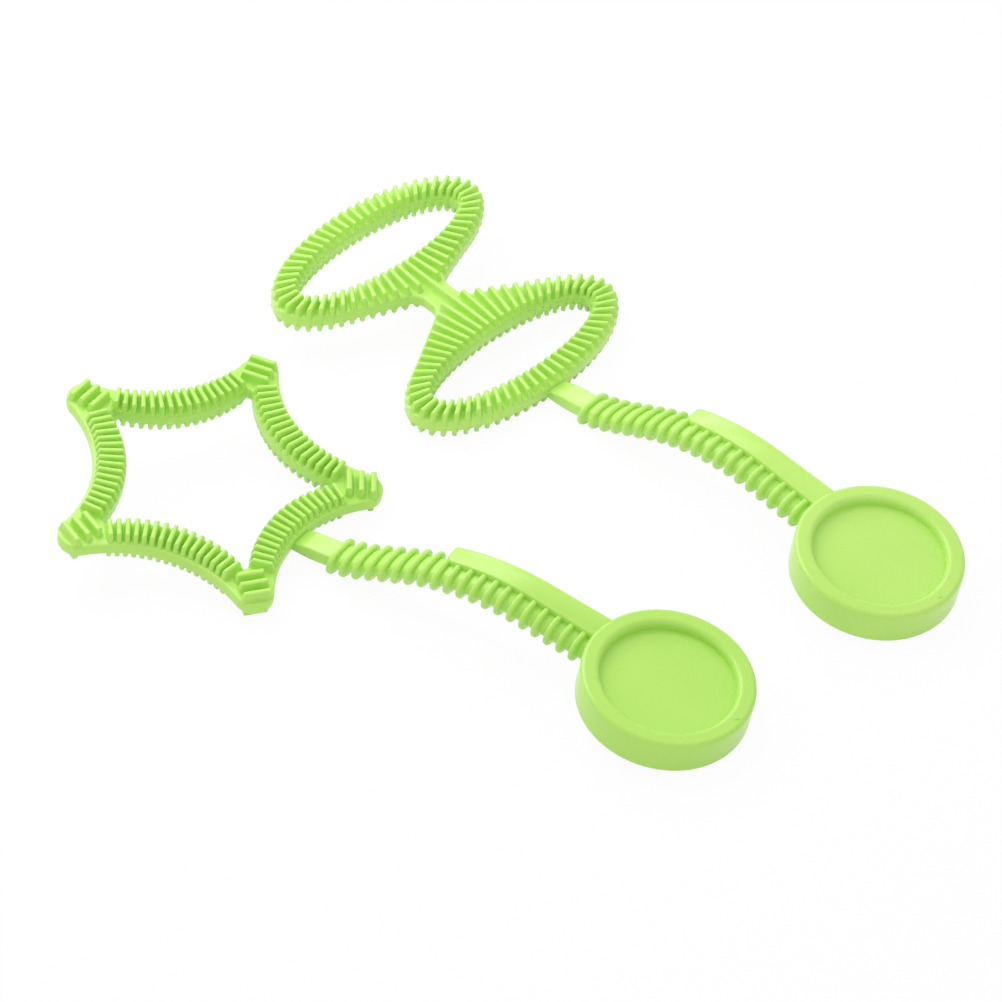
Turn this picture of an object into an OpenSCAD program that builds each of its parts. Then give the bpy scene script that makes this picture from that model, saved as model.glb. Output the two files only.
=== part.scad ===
// Two bubble wands of one set, as they lie on a table: a star wand and a double loop wand.
// Each wand is one plastic moulding; its nodes are the regions that the mould forms.
// A wand's own frame has X along the handle towards the dish and Z up from the head's mid plane.
// The part's frame has X along the star wand as seen from above, the table at Z = 0,
// and its origin under the middle of the set.

/* [Head ribs] */
// Thickness of the solid band that carries the ribs
band_h = 4; // [2.5:0.5:7]
// Height of the ribs above and below the band
rib_h = 3; // [1.5:0.25:5]
// Length over which a rib's end slopes down to the band
rib_end_run = 1.3; // [0.5:0.1:2]

/* [Star head] */
// Height of the star's mid plane above the handle's datum
star_rise = 3; // [2:0.1:3.6]
// Distance from the star's centre to the outer edge of a side's middle
star_outer_at = 33; // [31.5:0.1:34.5]
// Radius of the arc that a side's outer edge follows
star_outer_r = 39.6; // [37:0.2:42]
// Distance from the star's centre to the inner edge of a side's middle
star_inner_at = 24; // [22:0.1:25.5]
// Radius of the arc that a side's inner edge follows
star_inner_r = 37.8; // [36:0.2:40]
// Distance from the star's centre to the blunt corners of its hole
star_hole_r = 36.7; // [35:0.1:37.4]
// Distance from the star's centre to the centre of a rounded tip
star_tip_at = 46.4; // [45.6:0.1:48]
// Radius of the rounded tips
star_tip_r = 5; // [4.6:0.1:5.6]
// Number of ribs across each side of the star
star_ribs = 16; // [8:1:16]
// Spacing of the ribs along a side's outer edge
star_rib_pitch = 2.32; // [1.8:0.02:2.34]
// Thickness of a star rib
star_rib_t = 1.5; // [0.8:0.1:1.7]
// Number of ribs across each tip
tip_ribs = 3; // [1:1:3]
// Spacing of the ribs across a tip
tip_rib_pitch = 3.6; // [3:0.1:3.8]
// Length of the ribs across a tip
tip_rib_l = 9.2; // [7:0.1:9.6]
// Thickness of the ribs across a tip
tip_rib_t = 2.1; // [1.2:0.1:2.4]

/* [Loop head] */
// Height of the loop head's near edge above the handle's datum
loop_rise = 2.5; // [2.2:0.1:3.2]
// Angle by which the loop head dips towards its far end, in degrees
loop_dip = 2.7; // [0:0.1:3.6]
// Half width of an oval's hole, along the wand
oval_hole_a = 9.7; // [8:0.1:11]
// Half length of an oval's hole, across the wand
oval_hole_b = 33.5; // [28:0.5:36]
// Width of an oval's band
oval_band_w = 8.9; // [7:0.1:10]
// Distance from the handle's datum to the centre of the near oval
near_oval_at = 14.4; // [13.2:0.1:14.8]
// Distance between the centres of the two ovals
oval_gap = 58.4; // [56:0.1:61]
// Number of ribs around each oval
oval_ribs = 54; // [30:2:56]
// Thickness of an oval's rib
oval_rib_t = 1.9; // [1:0.1:2]
// Width of the bar that joins the two ovals
waist_w = 10.4; // [8:0.2:12]
// Distance from the near oval's outer edge to the point of its flare
near_flare = 11.4; // [9:0.2:12]
// Distance from the far oval's outer edge to the point of its flare
far_flare = 5.8; // [4:0.2:7]
// Number of ribs of the near oval, next to the neck, that the wand rests on
foot_ribs = 11; // [3:2:15]

/* [Handle] */
// Distance from the head's datum to the centre of the dish
dish_at = 155.5; // [154:0.1:164]
// Distance from the head's datum to the place where the handle starts to bend upwards
crank_at = 29.2; // [28:0.1:31]
// Height of the handle's start above the head's mid plane
crank_start_z = 2; // [1:0.1:2.4]
// Height that the handle gains from the head to the dish
crank_rise = 29; // [25:0.5:33]
// Steepest slope of the handle, in degrees
crank_angle = 32.6; // [28:0.1:36]
// Radius of the lower bend
low_bend_r = 52; // [40:1:56]
// Radius of the upper bend
high_bend_r = 75; // [60:1:80]
// Width of the neck
neck_w = 8; // [5:0.1:8.4]
// Thickness of the neck
neck_h = 5; // [3.4:0.1:5.2]
// Width of the grip's core
core_w = 9; // [6:0.1:9.4]
// Thickness of the grip's core
core_h = 6.2; // [4:0.1:6.4]

/* [Grip ribs] */
// Distance from the head's datum to the first grip rib
grip_rib_at = 47.8; // [47:0.1:49]
// Number of grip ribs
grip_ribs = 20; // [10:1:20]
// Spacing of the grip ribs
grip_rib_pitch = 4.21; // [3.6:0.01:4.24]
// Thickness of a grip rib
grip_rib_t = 1.7; // [1.2:0.1:2.8]
// Width of a grip rib
grip_rib_w = 12; // [10.4:0.1:14]
// Height of a grip rib
grip_rib_h = 8.6; // [7.4:0.1:9.2]
// Corner radius of a grip rib
grip_rib_r = 3; // [1:0.1:3.6]

/* [Grip spine] */
// Distance from the head's datum to the blunt end of the smooth spine
spine_at = 80.4; // [79.6:0.1:86]
// Distance of the spine's near edge from the handle's middle plane, to the far side
spine_edge = 0; // [-2:0.1:1]
// Width of the spine
spine_w = 6.9; // [5:0.1:8]
// Height of the spine's blunt end above the grip ribs
spine_start_h = 1.1; // [0.6:0.1:2.4]
// Height of the spine above the grip ribs where it meets the dish
spine_end_h = 3.3; // [1.5:0.1:3.4]
// Radius of the spine's blunt corners, seen from above
spine_corner_r = 2.4; // [1:0.1:3]

/* [Dish] */
// Outer diameter of the dish
dish_d = 49.3; // [46:0.1:54]
// Height of the dish's wall
dish_h = 11.2; // [10:0.1:13]
// Height of the underside of the dish above the handle's centre line; negative is below it
dish_drop = -3.5; // [-4.4:0.1:-3]
// Width of the rim around the recess
rim_w = 5.4; // [3:0.1:7]
// Depth of the recess in the top of the dish
recess_depth = 3; // [1.5:0.1:5]
// Thickness of the dish's floor
floor_t = 2.6; // [1.6:0.1:4]
// Radius of the rim's outer edges
rim_outer_r = 0.8; // [0.3:0.1:1.2]
// Radius of the rim's inner edges
rim_inner_r = 1.5; // [0.5:0.1:1.7]
// Diameter of the gate mark on the rim
gate_d = 1.6; // [1:0.1:2.4]
// Height of the gate mark
gate_h = 0.4; // [0.2:0.1:0.8]

/* [Lie of the set] */
// Distance along the star wand from its datum to the loop wand's datum
loop_x = 24.7; // [20:0.1:30]
// Distance across the star wand to the loop wand's datum
loop_y = 104.2; // [102:0.1:130]
// Angle between the two wands, seen from above
loop_yaw = -10; // [-11.5:0.1:-4]

/* [Hidden] */
$fn = 96;

sides = 5;
turn = 360;
side_angle = turn / sides;
half_side = side_angle / 2;
lime = [0.72, 0.9, 0.43];
lime_dark = [0.62, 0.84, 0.33];

// Heights in a wand's own frame
band_top = band_h / 2;
head_top = band_top + rib_h;
handle_end_z = crank_start_z + crank_rise;
dish_bottom = handle_end_z + dish_drop;
dish_top = dish_bottom + dish_h;
floor_top = dish_top - recess_depth;

// Star head
star_bow_at = star_outer_at + star_outer_r;
star_rib_step = star_rib_pitch * turn / (2 * PI * star_outer_r);
star_inner_bow_at = star_inner_at + star_inner_r;
tip_rib_at = star_tip_at + tip_rib_pitch / 2;

// Loop head
oval_outer_a = oval_hole_a + oval_band_w;
oval_outer_b = oval_hole_b + oval_band_w;
far_oval_at = near_oval_at - oval_gap;
near_flare_d = oval_outer_a + near_flare;
far_flare_d = oval_outer_a + far_flare;
near_flare_tip = near_oval_at - near_flare_d;
far_flare_tip = far_oval_at + far_flare_d;
oval_steps = 120;
loop_near_edge = near_oval_at + oval_outer_a;

// Handle's centre line: level, lower bend, straight slope, upper bend, level
low_bend_x = low_bend_r * sin(crank_angle);
low_bend_z = low_bend_r * (1 - cos(crank_angle));
high_bend_x = high_bend_r * sin(crank_angle);
high_bend_z = high_bend_r * (1 - cos(crank_angle));
slope_z = crank_rise - low_bend_z - high_bend_z;
slope_x = slope_z / tan(crank_angle);
slope_at = crank_at + low_bend_x;
top_bend_at = slope_at + slope_x;
level_at = top_bend_at + high_bend_x;
profile_step = grip_rib_pitch / 2;

// Handle's regions
neck_end = grip_rib_at - grip_rib_t / 2;
dish_r = dish_d / 2;
recess_r = dish_r - rim_w;
handle_stop = dish_at;
spine_len = dish_at - dish_r - spine_at;
overrun = grip_rib_pitch;

// Each wand lies on the far edge of its dish and on the head's ribs next to the neck
star_foot = [
    (tip_rib_at + tip_rib_t / 2) * cos(half_side) + (tip_rib_l / 2 - rib_end_run) * sin(half_side),
    0, star_rise - head_top
];
loop_foot = [
    loop_near_edge - rib_end_run * cos(loop_dip) + head_top * sin(loop_dip), 0,
    loop_rise - rib_end_run * sin(loop_dip) - head_top * cos(loop_dip)
];
star_tilt = lie_tilt(star_foot);
loop_tilt = lie_tilt(loop_foot);
star_lift = lie_lift(star_tilt, star_foot);
loop_lift = lie_lift(loop_tilt, loop_foot);

function lie_tilt(foot) =
    let(base = dish_at + dish_r - rim_outer_r - foot[0], drop = dish_bottom + rim_outer_r - foot[2])
    acos(rim_outer_r / norm([base, drop])) - atan2(base, drop);
function lie_lift(tilt, foot) = foot[0] * sin(tilt) - foot[2] * cos(tilt);

// Reach of a wand's pieces in the direction of the part's X or Y, for a wand turned by yaw and tilted
function toward(heading, tilt) = [cos(heading) * cos(tilt), sin(heading), cos(heading) * sin(tilt)];
function dish_reach(d) =
    d * [dish_at, 0, dish_bottom + dish_h / 2] + rim_outer_r
    + (dish_r - rim_outer_r) * norm([d[0], d[1]]) + (dish_h / 2 - rim_outer_r) * abs(d[2]);
function tip_reach(d, angle) =
    d * [star_tip_at * cos(angle), star_tip_at * sin(angle), star_rise]
    + star_tip_r * norm([d[0], d[1]]) + band_top * abs(d[2]);
function oval_reach(d, at) =
    let(along = d[0] * cos(loop_dip) + d[2] * sin(loop_dip), up = d[2] * cos(loop_dip) - d[0] * sin(loop_dip))
    d * [loop_near_edge, 0, loop_rise] + along * (at - loop_near_edge)
    + norm([oval_outer_a * along, oval_outer_b * d[1]]) + band_top * abs(up);
function star_reach(heading) =
    let(d = toward(heading, star_tilt))
    max(dish_reach(d), max([for (k = [0 : sides - 1]) tip_reach(d, half_side + k * side_angle)]));
function loop_reach(heading) =
    let(d = toward(heading - loop_yaw, loop_tilt))
    loop_x * cos(heading) + loop_y * sin(heading)
    + max(dish_reach(d), oval_reach(d, far_oval_at), oval_reach(d, near_oval_at));
function set_reach(heading) = max(star_reach(heading), loop_reach(heading));

// The part's origin is under the middle of the set
origin_x = (set_reach(0) - set_reach(turn / 2)) / 2;
origin_y = (set_reach(turn / 4) - set_reach(-turn / 4)) / 2;

// Height of the handle's centre line at a distance x along the wand
function centre_z(x) =
    x <= crank_at ? crank_start_z
    : x <= slope_at ? crank_start_z + low_bend_r - sqrt(pow(low_bend_r, 2) - pow(x - crank_at, 2))
    : x <= top_bend_at ? crank_start_z + low_bend_z + (x - slope_at) * tan(crank_angle)
    : x <= level_at ? handle_end_z - high_bend_r + sqrt(pow(high_bend_r, 2) - pow(level_at - x, 2))
    : handle_end_z;

// Height of the top of the grip ribs
function rib_top_z(x) = centre_z(x) + grip_rib_h / 2;

// The spine rises evenly from its blunt end to the dish
function spine_rise(x) =
    spine_start_h + (spine_end_h - spine_start_h) * min(1, max(0, (x - spine_at) / spine_len));

// Distances along the wand at which a side profile has a point
function stations(from, to) = concat([for (x = [from : profile_step : to - profile_step / 2]) x], [to]);
function ellipse_points(a, b) =
    [for (i = [0 : oval_steps - 1]) [a * cos(i * turn / oval_steps), b * sin(i * turn / oval_steps)]];

// Angle parameters that space an oval's ribs evenly along its outer edge
function oval_speed(t) = norm([oval_outer_a * sin(t), oval_outer_b * cos(t)]);
oval_half_table = [
    for (i = 0, s = 0; i <= oval_steps; s = s + oval_speed((i + 1 / 2) * turn / 2 / oval_steps), i = i + 1)
        [s, i * turn / 2 / oval_steps]
];
oval_half_length = oval_half_table[oval_steps][0];
function oval_rib_angle(i) = lookup(i * oval_half_length / (oval_ribs / 2), oval_half_table);
oval_angles = [
    for (i = [0 : oval_ribs - 1])
        i < oval_ribs / 2 ? oval_rib_angle(i) : turn - oval_rib_angle(oval_ribs - i)
];

// Part of the way from hole to outer edge, 1 at the edge, at which a rib meets a flare's slanted edge
function flare_reach(t, flare_d) =
    let(
        tip_share = oval_outer_a / flare_d,
        edge_x = flare_d - oval_outer_a * tip_share,
        edge_y = oval_outer_b * sqrt(1 - pow(tip_share, 2)),
        hole = [oval_hole_a * cos(t), oval_hole_b * abs(sin(t))],
        along = [oval_band_w * cos(t), oval_band_w * abs(sin(t))],
        cross_hole = edge_x * hole[1] - edge_y * (flare_d - hole[0]),
        cross_along = edge_x * along[1] + edge_y * along[0]
    )
    cos(t) > tip_share && cross_along > 0 ? max(1, -cross_hole / cross_along) : 1;

// Place a wand on the table
module place_star() {
    translate([-origin_x, -origin_y, star_lift]) rotate([0, star_tilt, 0]) children();
}
module place_loop() {
    translate([loop_x - origin_x, loop_y - origin_y, loop_lift])
        rotate([0, 0, loop_yaw]) rotate([0, loop_tilt, 0]) children();
}

// Rib of a head: flat topped, with sloping ends, standing on z = 0 between two points
module head_rib(from, to, thickness) {
    run = to - from;
    length = norm(run);
    translate([from[0], from[1], 0])
        rotate([0, 0, atan2(run[1], run[0])])
            rotate([90, 0, 0])
                linear_extrude(thickness, center = true)
                    polygon([[0, 0], [length, 0], [length - rib_end_run, rib_h], [rib_end_run, rib_h]]);
}
module on_top() {
    translate([0, 0, band_top]) children();
}
module below() {
    mirror([0, 0, 1]) translate([0, 0, band_top]) children();
}

// Star head
module at_sides(first, last) {
    for (k = [first : last])
        rotate(k * side_angle) children();
}
module star_outline() {
    difference() {
        circle(star_tip_at);
        at_sides(0, sides - 1) translate([star_bow_at, 0]) circle(star_outer_r);
    }
    at_sides(0, sides - 1) rotate(half_side) translate([star_tip_at, 0]) circle(star_tip_r);
}
module star_hole() {
    difference() {
        circle(star_hole_r);
        at_sides(0, sides - 1) translate([star_inner_bow_at, 0]) circle(star_inner_r);
    }
}
module star_band() {
    linear_extrude(band_h, center = true) difference() {
        star_outline();
        star_hole();
    }
}
// Each side rib lies on a ray from the outer arc's centre, and ends at the inner arc
module star_side_ribs() {
    apart = star_bow_at - star_inner_bow_at;
    at_sides(0, sides - 1) translate([star_bow_at, 0, 0])
        for (i = [0 : star_ribs - 1]) {
            angle = (i - (star_ribs - 1) / 2) * star_rib_step;
            inner = apart * cos(angle) + sqrt(pow(star_inner_r, 2) - pow(apart * sin(angle), 2));
            ray = [-cos(angle), sin(angle)];
            head_rib(star_outer_r * ray, inner * ray, star_rib_t);
        }
}
module star_tip_ribs(first, last) {
    at_sides(first, last) rotate(half_side)
        for (i = [0 : tip_ribs - 1]) {
            at = tip_rib_at - i * tip_rib_pitch;
            head_rib([at, -tip_rib_l / 2], [at, tip_rib_l / 2], tip_rib_t);
        }
}
module star_head() {
    place_star() translate([0, 0, star_rise]) children();
}
module star_frame() {
    color(lime) star_head() star_band();
}
module star_top_ribs() {
    color(lime_dark) star_head() on_top() {
        star_side_ribs();
        star_tip_ribs(0, sides - 1);
    }
}
module star_bottom_ribs() {
    color(lime_dark) star_head() below() {
        star_side_ribs();
        star_tip_ribs(1, sides - 2);
    }
}
module star_foot_ribs() {
    color(lime_dark) star_head() below() star_tip_ribs(-1, 0);
}

// Loop head: in an oval's own plan, the flare points along +X
module oval_outline(flare_d) {
    tip_share = oval_outer_a / flare_d;
    edge_x = oval_outer_a * tip_share;
    edge_y = oval_outer_b * sqrt(1 - pow(tip_share, 2));
    polygon(ellipse_points(oval_outer_a, oval_outer_b));
    polygon([[flare_d, 0], [edge_x, edge_y], [-edge_x, 0], [edge_x, -edge_y]]);
}
module oval_hole() {
    polygon(ellipse_points(oval_hole_a, oval_hole_b));
}
module near_oval_plan() {
    translate([near_oval_at, 0]) mirror([1, 0]) children();
}
module far_oval_plan() {
    translate([far_oval_at, 0]) children();
}
module oval_band(flare_d) {
    difference() {
        oval_outline(flare_d);
        oval_hole();
    }
}
module waist_cut() {
    translate([far_flare_tip - waist_w / 2, -waist_w / 2])
        square([near_flare_tip - far_flare_tip + waist_w, waist_w]);
}
module oval_side_ribs(flare_d, first, last) {
    for (i = [first : last]) {
        t = oval_angles[i];
        hole = [oval_hole_a * cos(t), oval_hole_b * sin(t)];
        reach = flare_reach(t, flare_d);
        head_rib(hole, hole + oval_band_w * reach * [cos(t), sin(t)], oval_rib_t);
    }
}
module dip_head() {
    translate([loop_near_edge, 0, loop_rise])
        rotate([0, -loop_dip, 0])
            translate([-loop_near_edge, 0, 0]) children();
}
module loop_head() {
    place_loop() dip_head() children();
}
module centre_rib() {
    head_rib([far_oval_at + oval_hole_a, 0], [near_oval_at - oval_hole_a, 0], oval_rib_t);
}
module loop_rib_set(near_from, near_to) {
    far_oval_plan() oval_side_ribs(far_flare_d, 1, oval_ribs - 1);
    near_oval_plan() oval_side_ribs(near_flare_d, near_from, near_to);
    centre_rib();
}
foot_first = (oval_ribs - foot_ribs + 1) / 2;
foot_last = foot_first + foot_ribs - 1;
module loop_far_oval() {
    color(lime) loop_head() linear_extrude(band_h, center = true) difference() {
        far_oval_plan() oval_band(far_flare_d);
        waist_cut();
    }
}
module loop_near_oval() {
    color(lime) loop_head() linear_extrude(band_h, center = true) difference() {
        near_oval_plan() oval_band(near_flare_d);
        waist_cut();
    }
}
module loop_waist() {
    color(lime) loop_head() linear_extrude(band_h, center = true) waist_cut();
}
module loop_top_ribs() {
    color(lime_dark) loop_head() on_top() loop_rib_set(1, oval_ribs - 1);
}
module loop_bottom_ribs() {
    color(lime_dark) loop_head() below() {
        loop_rib_set(1, foot_first - 1);
        near_oval_plan() oval_side_ribs(near_flare_d, foot_last + 1, oval_ribs - 1);
    }
}
module loop_foot_ribs() {
    color(lime_dark) loop_head() below() near_oval_plan()
        oval_side_ribs(near_flare_d, foot_first, foot_last);
}

// Bar of even thickness that follows the handle's centre line
module handle_bar(from, to, width, thickness) {
    xs = stations(from, to);
    rotate([90, 0, 0])
        linear_extrude(width, center = true)
            polygon(concat(
                [for (x = xs) [x, centre_z(x) - thickness / 2]],
                [for (i = [len(xs) - 1 : -1 : 0]) [xs[i], centre_z(xs[i]) + thickness / 2]]
            ));
}
module dish_cylinder() {
    translate([dish_at, 0, dish_bottom]) cylinder(r = dish_r, h = dish_h);
}
module neck_bar() {
    handle_bar(crank_at, neck_end, neck_w, neck_h);
}
module star_neck() {
    color(lime) place_star() intersection() {
        neck_bar();
        translate([star_bow_at, 0, -head_top])
            cylinder(r = star_outer_r, h = handle_end_z + head_top);
    }
}
module loop_neck() {
    color(lime) place_loop() difference() {
        neck_bar();
        dip_head() near_oval_plan() translate([0, 0, -head_top])
            linear_extrude(handle_end_z + head_top) polygon(ellipse_points(oval_outer_a, oval_outer_b));
    }
}
module grip_core() {
    difference() {
        handle_bar(neck_end, handle_stop, core_w, core_h);
        dish_cylinder();
    }
}

// Smooth spine on top of the grip's far half
module grip_spine() {
    xs = stations(spine_at, handle_stop);
    difference() {
        intersection() {
            translate([0, spine_edge + spine_w, 0])
                rotate([90, 0, 0])
                    linear_extrude(spine_w)
                        polygon(concat(
                            [for (x = xs) [x, centre_z(x) + core_h / 2]],
                            [for (i = [len(xs) - 1 : -1 : 0]) [xs[i], rib_top_z(xs[i]) + spine_rise(xs[i])]]
                        ));
            linear_extrude(dish_top) spine_plan();
        }
        dish_cylinder();
    }
}
module spine_plan() {
    translate([spine_at, spine_edge]) {
        for (y = [spine_corner_r, spine_w - spine_corner_r])
            translate([spine_corner_r, y]) circle(spine_corner_r);
        translate([0, spine_corner_r]) square([spine_w, spine_w - 2 * spine_corner_r]);
        translate([spine_corner_r, 0]) square([handle_stop - spine_at, spine_w]);
    }
}

// Grip ribs are square to the wand's axis and wrap round the core, below the spine
module rib_plan() {
    for (y = [-1, 1], z = [-1, 1])
        translate([y * (grip_rib_w / 2 - grip_rib_r), z * (grip_rib_h / 2 - grip_rib_r)]) circle(grip_rib_r);
    square([grip_rib_w - 2 * grip_rib_r, grip_rib_h], center = true);
    square([grip_rib_w, grip_rib_h - 2 * grip_rib_r], center = true);
}
module grip_rib_row() {
    difference() {
        for (i = [0 : grip_ribs - 1]) {
            x = grip_rib_at + i * grip_rib_pitch;
            translate([x, 0, centre_z(x)])
                rotate([90, 0, 90]) linear_extrude(grip_rib_t, center = true) rib_plan();
        }
        handle_bar(neck_end - overrun, handle_stop, core_w, core_h);
        grip_spine();
        dish_cylinder();
    }
}

// Dish: rounded rim ring around a flat floor, open above and below
module dish_rim() {
    translate([dish_at, 0, dish_bottom])
        rotate_extrude() {
            translate([recess_r + rim_inner_r, 0]) square([rim_w - rim_inner_r - rim_outer_r, dish_h]);
            translate([recess_r, rim_inner_r]) square([rim_inner_r, dish_h - 2 * rim_inner_r]);
            translate([dish_r - rim_outer_r, rim_outer_r]) square([rim_outer_r, dish_h - 2 * rim_outer_r]);
            for (z = [rim_inner_r, dish_h - rim_inner_r])
                translate([recess_r + rim_inner_r, z]) circle(rim_inner_r);
            for (z = [rim_outer_r, dish_h - rim_outer_r])
                translate([dish_r - rim_outer_r, z]) circle(rim_outer_r);
        }
}
module dish_floor() {
    translate([dish_at, 0, floor_top - floor_t]) cylinder(r = recess_r, h = floor_t);
}
module gate_mark() {
    translate([dish_at + dish_r - rim_w / 2, 0, dish_top]) cylinder(d = gate_d, h = gate_h);
}

module star_grip_core() {
    color(lime) place_star() grip_core();
}
module star_grip_ribs() {
    color(lime_dark) place_star() grip_rib_row();
}
module star_grip_spine() {
    color(lime) place_star() grip_spine();
}
module star_dish_rim() {
    color(lime) place_star() dish_rim();
}
module star_dish_floor() {
    color(lime_dark) place_star() dish_floor();
}
module star_gate_mark() {
    color(lime_dark) place_star() gate_mark();
}
module loop_grip_core() {
    color(lime) place_loop() grip_core();
}
module loop_grip_ribs() {
    color(lime_dark) place_loop() grip_rib_row();
}
module loop_grip_spine() {
    color(lime) place_loop() grip_spine();
}
module loop_dish_rim() {
    color(lime) place_loop() dish_rim();
}
module loop_dish_floor() {
    color(lime_dark) place_loop() dish_floor();
}
module loop_gate_mark() {
    color(lime_dark) place_loop() gate_mark();
}

star_frame();
star_top_ribs();
star_bottom_ribs();
star_foot_ribs();
star_neck();
star_grip_core();
star_grip_ribs();
star_grip_spine();
star_dish_rim();
star_dish_floor();
star_gate_mark();
loop_far_oval();
loop_near_oval();
loop_waist();
loop_top_ribs();
loop_bottom_ribs();
loop_foot_ribs();
loop_neck();
loop_grip_core();
loop_grip_ribs();
loop_grip_spine();
loop_dish_rim();
loop_dish_floor();
loop_gate_mark();
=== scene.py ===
"""Two lime bubble wands of one set, lying side by side: a star wand and a double loop wand.

Each wand is one injection moulding. Its pieces here are the regions that the mould forms, with
the softened edges, rounded rib crests and filleted roots that the plain solids leave out.
Sizes are in millimetres in a wand's own frame: X along the handle to the dish, Z up.
"""

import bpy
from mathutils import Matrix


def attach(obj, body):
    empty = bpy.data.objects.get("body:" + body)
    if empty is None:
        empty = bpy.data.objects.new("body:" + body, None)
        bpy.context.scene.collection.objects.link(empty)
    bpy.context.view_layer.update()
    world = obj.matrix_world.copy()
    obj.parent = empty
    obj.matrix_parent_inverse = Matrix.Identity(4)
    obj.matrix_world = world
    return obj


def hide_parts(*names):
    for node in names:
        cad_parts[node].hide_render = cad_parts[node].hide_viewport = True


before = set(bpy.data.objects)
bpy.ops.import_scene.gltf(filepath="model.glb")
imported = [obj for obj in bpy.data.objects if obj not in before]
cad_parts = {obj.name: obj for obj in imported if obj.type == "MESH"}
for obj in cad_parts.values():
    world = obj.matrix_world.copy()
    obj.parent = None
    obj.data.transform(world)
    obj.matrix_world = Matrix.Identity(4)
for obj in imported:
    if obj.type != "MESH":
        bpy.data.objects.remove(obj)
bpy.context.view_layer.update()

import math

import bmesh
import bpy
import numpy as np
from mathutils import Matrix, Vector
from mathutils.geometry import tessellate_polygon

MM = 0.001

# ------------------------------------------------------------ sizes, as in the part's source
BAND_TOP = 2.0          # half the thickness of the head's band
RIB_H = 3.0             # ribs stand this high above and below the band

STAR_RISE = 3.0
# The arms' outer edge is 0.8 mm further out than the source's, and the rib pitch goes with it
STAR_OUTER_AT, STAR_OUTER_R = 33.8, 38.8
STAR_INNER_AT, STAR_INNER_R = 24.0, 37.8
STAR_HOLE_R = 36.7
STAR_TIP_AT, STAR_TIP_R = 46.4, 5.0
STAR_RIBS, STAR_RIB_PITCH, STAR_RIB_T = 16, 2.273, 1.5
TIP_RIBS, TIP_RIB_PITCH, TIP_RIB_L, TIP_RIB_T = 3, 3.6, 9.2, 2.1

HOLE_A, HOLE_B, OVAL_BAND = 9.7, 33.5, 8.9
LOOP_RISE, LOOP_DIP = 2.5, 2.7
NEAR_OVAL_AT, OVAL_GAP = 14.4, 58.4
OVAL_RIBS, OVAL_RIB_T = 54, 1.9
WAIST_W, NEAR_FLARE, FAR_FLARE = 10.4, 11.4, 5.8
FOOT_RIBS = 11

DISH_AT, DISH_R, DISH_H, DISH_DROP = 155.5, 24.65, 11.2, -3.5
RIM_W, RECESS, FLOOR_T = 5.4, 3.0, 2.6
CRANK_AT, CRANK_Z, CRANK_RISE, CRANK_ANGLE = 29.2, 2.0, 29.0, math.radians(32.6)
LOW_BEND, HIGH_BEND = 52.0, 75.0
NECK_W, NECK_H = 8.0, 5.0
CORE_W, CORE_H = 9.0, 6.2
GRIP_AT, GRIP_RIBS, GRIP_PITCH = 47.8, 20, 4.21
GRIP_T, GRIP_W, GRIP_H = 1.7, 12.0, 8.6
SPINE_AT, SPINE_EDGE, SPINE_W = 80.4, 0.0, 6.9
SPINE_START, SPINE_END = 1.1, 3.3

# ------------------------------------------------------------ how the wands lie on the table
LIE = {
    "star_wand": Matrix.Translation((-78.1708, -52.2565, 10.7115))
    @ Matrix.Rotation(math.radians(12.0961), 4, "Y"),
    "loop_wand": Matrix.Translation((-53.4708, 51.9435, 8.8812))
    @ Matrix.Rotation(math.radians(-10), 4, "Z") @ Matrix.Rotation(math.radians(11.5178), 4, "Y"),
}
# Each head in its wand: the star is raised, the loops dip from their edge next to the neck
LOOP_EDGE = NEAR_OVAL_AT + HOLE_A + OVAL_BAND
HEAD = {
    "star_wand": Matrix.Translation((0, 0, STAR_RISE)),
    "loop_wand": Matrix.Translation((LOOP_EDGE, 0, LOOP_RISE))
    @ Matrix.Rotation(math.radians(-LOOP_DIP), 4, "Y") @ Matrix.Translation((-LOOP_EDGE, 0, 0)),
}
PLASTIC = {}            # each wand's material


# ------------------------------------------------------------ shared shaping tools
FLAT_LEAD = 0.15        # points this far past a plate's rounding keep its faces flat
PLAN_STEP, HOLE_STEP = 0.45, 0.4    # spacing of points along a head's outer edge and its holes


def piece(name, wand, shape, *nodes, head=False):
    """One moulded region: a smooth closed mesh that rides on its wand and stands for CAD nodes."""
    points, faces = shape
    place = Matrix.Scale(MM, 4) @ LIE[wand] @ (HEAD[wand] if head else Matrix())
    mesh = bpy.data.meshes.new(name)
    mesh.from_pydata([place @ Vector(p) for p in points], [], faces)
    skin = bmesh.new()
    skin.from_mesh(mesh)
    bmesh.ops.recalc_face_normals(skin, faces=skin.faces)
    for face in skin.faces:
        face.smooth = True
    skin.to_mesh(mesh)
    skin.free()
    made = bpy.data.objects.new(name, mesh)
    bpy.context.scene.collection.objects.link(made)
    mesh.materials.append(PLASTIC[wand])
    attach(made, wand)
    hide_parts(*nodes)


def join(parts):
    """Points and faces of several closed shapes as one list of each."""
    points, faces = [], []
    for some_points, some_faces in parts:
        start = len(points)
        points += [tuple(p) for p in some_points]
        faces += [tuple(start + i for i in face) for face in some_faces]
    return points, faces


def shifted(shape, at, facing):
    """A shape moved to a distance along the wand; facing -1 also mirrors it, 1 doesn't."""
    return [(at + facing * x, y, z) for x, y, z in shape[0]], shape[1]


def bands(first, count, each, closed=False):
    """Faces between rings of points that follow each other from the first index."""
    faces = []
    for i in range(count if closed else count - 1):
        a, b = first + i * each, first + (i + 1) % count * each
        faces += [(a + j, a + (j + 1) % each, b + (j + 1) % each, b + j) for j in range(each)]
    return faces


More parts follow.
